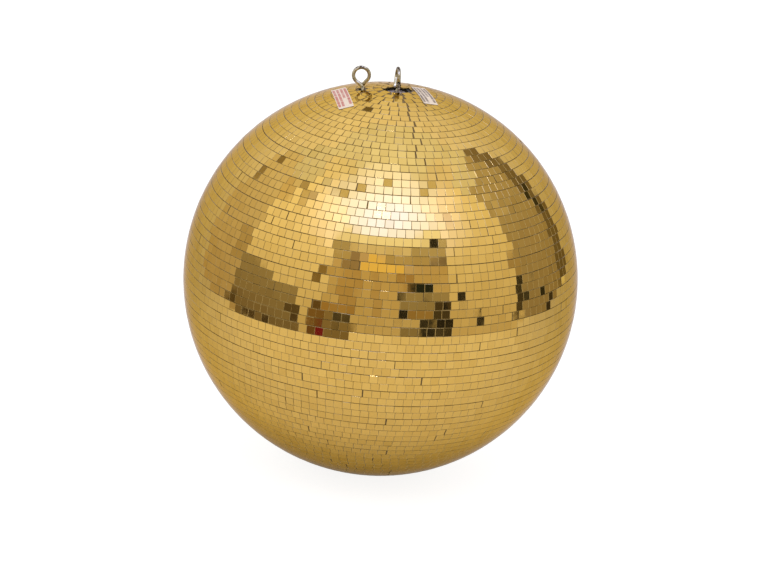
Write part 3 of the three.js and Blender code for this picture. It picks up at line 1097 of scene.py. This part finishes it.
# What the tiles mirror: pieces of a studio, as (name, azimuth from, to, elevation from, to, colour at
# the bottom, colour at the top if it differs), in degrees seen from the ball, nearest last apart from
# NEARER_CARDS. 100 is the brightness of the white table.
STUDIO = (
    ("ceiling", -180, 180, 45, 90, (105, 108, 120), (135, 145, 180)),
    ("ceiling_middle", -72, 48, 70, 90, (142, 152, 220), (160, 180, 280)),
    ("ceiling_west", -104, -60, 60, 74, (136, 132, 134), (120, 120, 126)),
    ("ceiling_bright_west", -86, -36, 47, 56, (152, 146, 142), (142, 140, 142)),
    ("ceiling_bright_east", 38, 80, 48, 60, (138, 130, 120), (132, 127, 124)),
    ("ceiling_east", 60, 112, 60, 72, (126, 120, 126), (118, 116, 122)),
    ("backdrop_left", -180, -121, -14, 62, (72, 70, 80), (136, 136, 156)),
    ("backdrop_right", 133, 180, -14, 62, (62, 60, 68), (127, 127, 152)),
    ("far_left_wall", -122, -88, -17, 47, (60, 50, 42), (108, 102, 98)),
    ("left_wall", -89, -30, -20, 48, (74, 65, 52), (150, 145, 142)),
    ("left_wall_patch", -88, -80, 46, 52, (66, 58, 48)),
    ("left_wall_beam", -77, -68, 42, 50, (105, 95, 80), (86, 78, 66)),
    ("left_wall_shelf", -97, -84, 37, 45, (106, 94, 78), (92, 80, 66)),
    ("right_wall", 40, 90, -20, 50, (76, 66, 54), (130, 125, 115)),
    ("right_wall_patch", 50, 56, 45, 51, (102, 88, 66)),
    ("right_wall_low", 82, 92, 7, 18, (52, 43, 31), (58, 48, 36)),
    ("left_wall_low", -97, -84, 3, 16, (62, 53, 42), (68, 58, 47)),
    ("brown_panel", 89, 125, -12, 50, (40, 34, 29), (70, 64, 56)),
    ("brown_panel_top", 108, 126, 50, 56, (66, 59, 52), (80, 74, 66)),
    ("brown_panel_lit", 93, 100, 32, 47, (80, 74, 66), (84, 78, 70)),
    ("brown_panel_low", 96, 112, 2, 22, (50, 44, 38), (54, 47, 40)),
    ("dark_curtain", 124, 134, -8, 53, (20, 17, 14), (36, 31, 27)),
    ("dark_curtain_gap", 125, 129, 12, 30, (7, 7, 6)),
    ("dark_curtain_left", -120.5, -117, 26, 46, (44, 37, 28), (40, 33, 23)),
    ("dark_gantry_behind", -169.5, -164, 43, 47, (20, 17, 12), (26, 22, 16)),
    ("recess", -31, 42, -20, 28, (80, 72, 62), (80, 66, 46)),
    ("recess_dark_left", -24, -12, 0, 21, (62, 48, 32), (72, 56, 36)),
    ("recess_dark_right", 12, 20, 4, 22, (58, 43, 27), (58, 42, 25)),
    ("beam_dark", -29, 40, 27, 31.5, (66, 58, 45), (80, 70, 56)),
    ("beam_light", -33, 41, 31.5, 37.5, (64, 58, 50), (78, 74, 70)),
    ("beam_light_middle", -19, 20, 31.5, 37.5, (102, 96, 96), (110, 108, 112)),
    ("beam_lit_edge", -32, 41, 37.5, 42, (130, 135, 160), (150, 160, 200)),
    ("beam_end", 24, 40, 25, 33, (27, 22, 16), (36, 30, 23)),
    ("beam_start", -36, -31, 31, 35.5, (44, 38, 30), (46, 40, 30)),
    ("warm_strip", -10, 14, 21.5, 26, (122, 98, 46), (126, 102, 50)),
    ("warm_strip_dark", -23, -12.5, 22.5, 26.5, (42, 33, 20), (48, 38, 24)),
    ("stand_column", -2.5, 1.5, -4, 22, (70, 57, 42), (70, 56, 40)),
    ("desk", -89, -61, -20, 8, (23, 18, 14), (46, 41, 35)),
    ("desk_end", -62, -45, -20, 4.5, (22, 17.5, 14), (46, 41, 35)),
    ("desk_dark_end", -52, -45.5, -8.5, -5.5, (15, 12, 9)),
    ("desk_leg_one", -49.5, -46, -13.5, -9, (10, 8, 6), (12, 9, 7)),
    ("desk_leg_two", -66, -60.5, -18, -14.5, (8, 7, 6), (10, 8, 7)),
    ("desk_leg_three", -80, -73, -18, -14.5, (10, 8, 6), (12, 9, 7)),
    ("desk_leg_four", -94, -86, -13.5, -11.5, (14, 11, 8)),
    ("brown_box", -39, -34.5, 11, 16, (34, 26, 15)),
    ("brown_box_top", -37, -34.5, 16, 20.5, (40, 31, 19)),
    ("orange_panel", -31, -13, -3.5, 0.5, (52, 36, 18), (56, 40, 22)),
    ("low_shelf", -37, -12, -20, -3.5, (30, 25, 19), (36, 29, 20)),
    ("red_case", -37, -29, -19, -4, (17, 8.5, 5), (30, 20, 10)),
    ("red_case_top", -37, -33, -4, 0.5, (16, 11, 6), (20, 14, 8)),
    ("red_case_side", -31.5, -29, -17, -9, (26, 1.2, 5), (24, 1.2, 4)),
    ("small_stand", -21.5, -18.5, -12, -4, (6, 6, 7), (7, 7, 8)),
    ("small_stand_arm", -24, -14, -7, -5.4, (10, 9, 8)),
    ("rack", 12, 41, -12, 12, (36, 32, 27), (50, 45, 38)),
    ("rack_brown", 15, 31, -3.8, 1, (42, 31, 17), (46, 34, 20)),
    ("rack_gap", 15, 25, -8, -4, (80, 72, 60)),
    ("rack_top", 17, 32, 11.8, 16, (3, 4, 5)),
    ("rack_top_post", 34, 36, 16, 20, (16, 13, 10), (10, 8, 6)),
    ("rack_post", 25, 28.5, 6, 10, (4, 4, 6)),
    ("rack_left", 12, 15.2, -8, 1, (4, 4, 6), (3, 3, 4)),
    ("rack_left_top", 12, 14.2, 6.8, 10.6, (5, 5, 6)),
    ("rack_case_left", 25, 30, -13, -4, (3, 3, 4), (6, 6, 7)),
    ("rack_case_right", 34, 40.5, -12.5, -4.5, (10, 9, 8), (2, 2, 3)),
    ("rack_case_upper", 31, 39, -3.5, 5.5, (9, 8, 7), (10, 8, 6)),
    ("rack_case_knob", 35, 38.5, 2, 5.5, (2, 2, 3)),
    ("lamp_head", 44.3, 48.6, 4, 9.5, (8, 8, 8), (4, 4, 5)),
    ("lamp_neck", 45, 47.5, 1, 4, (6, 6, 7), (8, 8, 8)),
    ("lamp_foot", 48, 51.2, -4.5, 0, (3, 3, 4), (4, 4, 5)),
    ("lamp_cable", 57, 61, -4.5, -1, (4, 4, 5), (6, 6, 7)),
    ("lamp_clip", 50, 52.2, 11.8, 13.8, (12, 10, 8)),
    ("lamp_clip_right", 67.5, 70, 4.5, 7.5, (16, 13, 10)),
    ("boom_arm", 33, 38.5, 35.8, 38, (5, 5, 6)),
    ("boom_head", 38, 45, 37.8, 39.4, (5, 5, 6)),
    ("tripod_left", 84, 88, -10.5, 7, (12, 10, 8), (5, 5, 5)),
    ("tripod_left_leg", 88, 92, -4, 1, (6, 6, 6), (7, 7, 6)),
    ("tripod_mid", 103, 107, -6, -3, (4, 4, 4), (5, 5, 4)),
    ("tripod_top", 96, 99, 1, 5, (5, 5, 5), (6, 6, 5)),
    ("tripod_right", 110, 117, -12, -7, (6, 5, 5), (8, 7, 6)),
    ("ceiling_rail_west", -60, -46, 58, 61, (96, 90, 78), (98, 92, 80)),
    ("ceiling_rail_mid_west", -43, -28, 65, 67.5, (96, 90, 78), (98, 92, 80)),
    ("ceiling_rail_middle", -12, 9, 73, 75.5, (98, 93, 84), (100, 95, 86)),
    ("ceiling_rail_east", 38, 66, 63, 65.5, (94, 88, 76), (96, 90, 78)),
)
STUDIO_R = 9.0
CARD_GAP = 0.05
CARD_STEP = 4  # degrees between a card's points
NEARER_CARDS = ("beam_dark", "beam_light", "beam_light_middle", "beam_lit_edge", "boom_arm", "warm_strip")
CARDS_NEARER, GLOW_NEARER, BULB_NEARER = 2.0, 1.8, 2.4

# The bare bulb in the soft box, which glints in the tiles' ground edges. Sizes in degrees seen from the ball
BULB_AZIMUTHS = (-4.6, -3.6)
BULB_ELEVATIONS = (54, 58)
BULB_STRENGTH = 900
GLOW_AZIMUTH = 2
GLOW_ELEVATION = 54
GLOW_WIDE = 78
GLOW_HIGH = 31
GLOW_STRENGTH = 6.3
# Colour of the soft box's glow: (share of the card from its middle, colour)
GLOW_STOPS = ((0.0, (0.10, 0.175, 0.92)), (0.10, (0.11, 0.185, 0.90)), (0.17, (0.13, 0.20, 0.76)),
              (0.26, (0.095, 0.13, 0.43)), (0.36, (0.055, 0.07, 0.23)), (0.44, (0.02, 0.027, 0.09)),
              (0.5, (0.0, 0.0, 0.0)))


def emission_material(name, build):
    """A light-giving studio material. build gives the emission its colour and strength."""
    shader = Shader(name)
    shader.tree.nodes.remove(shader.bsdf)
    shader.material.cycles.emission_sampling = "NONE"
    shine = shader.node("ShaderNodeEmission")
    shader.wire(shine.outputs["Emission"], shader.tree.nodes["Material Output"].inputs["Surface"])
    build(shader, shine)
    return shader.material


def only_in_mirrors(card):
    """The camera and the lighting don't see a studio card; the mirror tiles do."""
    card.visible_camera = False
    card.visible_diffuse = False
    card.visible_shadow = False
    card.visible_transmission = False
    card.visible_volume_scatter = False


def sky_patch(name, azimuths, elevations, radius, material):
    """A curved card that covers a range of directions seen from the ball."""
    west, east = azimuths
    low, high = elevations
    across = max(1, round((east - west) / CARD_STEP))
    up = max(1, round((high - low) / CARD_STEP))
    vertices = []
    uvs = []
    for k in range(up + 1):
        for i in range(across + 1):
            azimuth = math.radians(west + (east - west) * i / across)
            elevation = math.radians(low + (high - low) * k / up)
            vertices.append(on_ball(azimuth, elevation, radius))
            uvs.append((i / across, k / up))
    corners = [k * (across + 1) + i for k in range(up) for i in range(across)]
    faces = [(a, a + across + 1, a + across + 2, a + 1) for a in corners]
    card = new_object(name, vertices, faces, [material])
    add_uvs(card, "card", uvs)
    only_in_mirrors(card)


def two_tone(bottom, top):
    """Runs evenly from a colour at the card's bottom to one at its top."""
    def build(shader, shine):
        strongest = max(*bottom, *top)
        ramp = shader.node("ShaderNodeValToRGB")
        for element, tone in zip(ramp.color_ramp.elements, (bottom, top)):
            element.color = (*(c / strongest for c in tone), 1)
        height = shader.split(shader.uv("card"))[1]
        shader.wire(height, ramp.inputs["Fac"])
        shader.wire(ramp.outputs["Color"], shine.inputs["Color"])
        shine.inputs["Strength"].default_value = strongest
    return build


def soft_glow(shader, shine):
    """Brightest in the middle and falling away to nothing at the rim, where it turns transparent."""
    centred = shader.node("ShaderNodeVectorMath", operation="SUBTRACT")
    centred.inputs[1].default_value = (0.5, 0.5, 0)
    length = shader.node("ShaderNodeVectorMath", operation="LENGTH")
    shader.wire(shader.uv("card"), centred.inputs[0])
    shader.wire(centred.outputs["Vector"], length.inputs[0])
    ramp = shader.node("ShaderNodeValToRGB")
    shader.wire(length.outputs["Value"], ramp.inputs["Fac"])
    elements = ramp.color_ramp.elements
    elements[0].position, elements[1].position = GLOW_STOPS[0][0], GLOW_STOPS[-1][0]
    for place, _ in GLOW_STOPS[1:-1]:
        elements.new(place)
    for element, (_, colour) in zip(elements, GLOW_STOPS):
        element.color = (*colour, 1)
    ramp.color_ramp.interpolation = "B_SPLINE"
    shader.wire(ramp.outputs["Color"], shine.inputs["Color"])
    shine.inputs["Strength"].default_value = GLOW_STRENGTH
    clear = shader.node("ShaderNodeBsdfTransparent")
    both = shader.node("ShaderNodeAddShader")
    shader.wire(shine.outputs["Emission"], both.inputs[0])
    shader.wire(clear.outputs["BSDF"], both.inputs[1])
    shader.wire(both.outputs["Shader"], shader.tree.nodes["Material Output"].inputs["Surface"])


def make_studio_cards():
    for number, (name, west, east, low, high, *tones) in enumerate(STUDIO):
        bottom, top = (tuple(c / 100 for c in tone) for tone in (tones[0], tones[-1]))
        radius = STUDIO_R - CARD_GAP * number - (CARDS_NEARER if name in NEARER_CARDS else 0)
        material = emission_material(name, two_tone(bottom, top))
        sky_patch("card_" + name, (west, east), (low, high), radius, material)
    white = (BULB_STRENGTH,) * 3
    bulb = emission_material("key_bulb", two_tone(white, white))
    bulb.cycles.emission_sampling = "FRONT_BACK"
    sky_patch("card_key_bulb", BULB_AZIMUTHS, BULB_ELEVATIONS, STUDIO_R - BULB_NEARER, bulb)
    glow = emission_material("key_glow", soft_glow)
    azimuths = (GLOW_AZIMUTH - GLOW_WIDE, GLOW_AZIMUTH + GLOW_WIDE)
    elevations = (GLOW_ELEVATION - GLOW_HIGH, GLOW_ELEVATION + GLOW_HIGH)
    sky_patch("card_key_glow", azimuths, elevations, STUDIO_R - GLOW_NEARER, glow)


# Outline of the white table in mirrors: (azimuth in degrees, distance from the ball in metres)
TABLE_EDGE = ((-150, 4.0), (-118, 1.65), (-96, 1.10), (-75, 1.06), (-45, 1.08), (-12.5, 1.09),
              (-11.5, 1.38), (15, 1.42), (44, 1.38), (75, 1.36), (98, 1.34), (118, 1.75), (150, 4.0))
TABLE_RAISE = 0.2 * MM
TABLE_GLOW = 0.37
TABLE_TONE = (0.62, 0.57, 0.54)
# The mirrored table is painted darker and cooler past the ball as painted shade from the ball, and darker
# round its foot as a painted contact shadow.
TABLE_SHADE_BEHIND_FROM = -0.40
TABLE_SHADE_BEHIND_TO = 0.35
TABLE_SHADE_BEHIND = (0.68, 0.70, 0.86)
CONTACT_SHADE = 0.50
CONTACT_FROM = 0.02
CONTACT_TO = 0.24
WHITE = (1.0, 1.0, 1.0)
FLOOR_REACH = 15
FLOOR_GLOW = 0.86
FLOOR_TONE = (0.28, 0.28, 0.28)
SMUDGE = 0.97


def flat_surface(name, outline, material):
    corners = [(x, y, FLOOR_Z) for x, y in outline]
    surface = new_object(name, corners, [tuple(range(len(corners)))], [material])
    return surface


def white_surface(name, glow, tone, behind=WHITE, under=1.0):
    """A pale matte surface with a little light of its own.

    behind darkens and cools it past the ball as painted shade, and under darkens it below the ball as a
    painted contact shadow.
    """
    shader = Shader(name)
    shader.set(Roughness=0.9, Specular_IOR_Level=0.1, Emission_Strength=glow)
    x, y = shader.split(shader.place)
    # Painted shade: darker and cooler past the ball, and darker round its foot as a painted contact shadow.
    past = shader.remap(y, TABLE_SHADE_BEHIND_FROM, TABLE_SHADE_BEHIND_TO, 0.0, 1.0)
    painted_shade = shader.mix(past, WHITE, behind)
    squares = shader.math("ADD", shader.math("MULTIPLY", x, x), shader.math("MULTIPLY", y, y))
    shade = shader.remap(shader.math("SQRT", squares), CONTACT_FROM, CONTACT_TO, under, 1.0)
    painted_shade = shader.mix(1.0, painted_shade, shade, blend="MULTIPLY")
    shader.link(painted_shade, "Emission Color")
    clean = shader.mix(shader.noise(40, detail=4), tuple(c * SMUDGE for c in tone), tone)
    shader.colour(shader.mix(1.0, clean, painted_shade, blend="MULTIPLY"))
    return shader.material


def make_floor():
    """A floor for the camera, and a table at its height whose edge and shading only the mirrors see."""
    white = white_surface("white_floor", FLOOR_GLOW, FLOOR_TONE)
    reach = FLOOR_REACH
    seen = flat_surface("floor", ((-reach, -reach), (reach, -reach), (reach, reach), (-reach, reach)), white)
    seen.visible_glossy = False
    white = white_surface("white_table", TABLE_GLOW, TABLE_TONE, TABLE_SHADE_BEHIND, CONTACT_SHADE)
    edge = [(math.radians(azimuth), distance) for azimuth, distance in TABLE_EDGE]
    edge = [(distance * math.sin(azimuth), -distance * math.cos(azimuth)) for azimuth, distance in edge]
    mirrored = flat_surface("table_top", edge, white)
    mirrored.location.z = TABLE_RAISE
    mirrored.visible_camera = False
    mirrored.visible_diffuse = False
    mirrored.visible_shadow = False


# (name, azimuth, elevation, distance, size, power), the angles in degrees
LIGHTS = (("key", 2, 56, 3.0, 1.6, 22), ("fill", -60, 35, 3.5, 2.0, 8))


def area_light(name, azimuth, elevation, distance, size, power):
    data = bpy.data.lights.new(name, "AREA")
    data.size = size
    data.energy = power
    light = bpy.data.objects.new(name, data)
    light.location = on_ball(math.radians(azimuth), math.radians(elevation), distance)
    light.rotation_mode = "QUATERNION"
    light.rotation_quaternion = (CENTRE - light.location).to_track_quat("-Z", "Y")
    light.visible_glossy = False
    light.visible_camera = False
    bpy.context.scene.collection.objects.link(light)


def make_lights():
    world = bpy.data.worlds.new("studio")
    world.use_nodes = True
    background = world.node_tree.nodes["Background"]
    background.inputs["Color"].default_value = (1, 1, 1, 1)
    background.inputs["Strength"].default_value = 1.0
    bpy.context.scene.world = world
    for light in LIGHTS:
        area_light(*light)
    bpy.context.scene.view_settings.view_transform = "Standard"


make_camera()
mirror_material = gold_mirror()
edge_material = glass_edge()
make_mosaic(mirror_material, edge_material, dark_glue())
make_pole_tile(mirror_material, edge_material)
make_core(core_plastic())
steel_material = zinc_steel()
make_eyes(steel_material)
make_washers(grey_zinc())
make_nuts(steel_material, nylon_insert())
make_labels()
make_floor()
make_studio_cards()
make_lights()

bpy.context.view_layer.update()
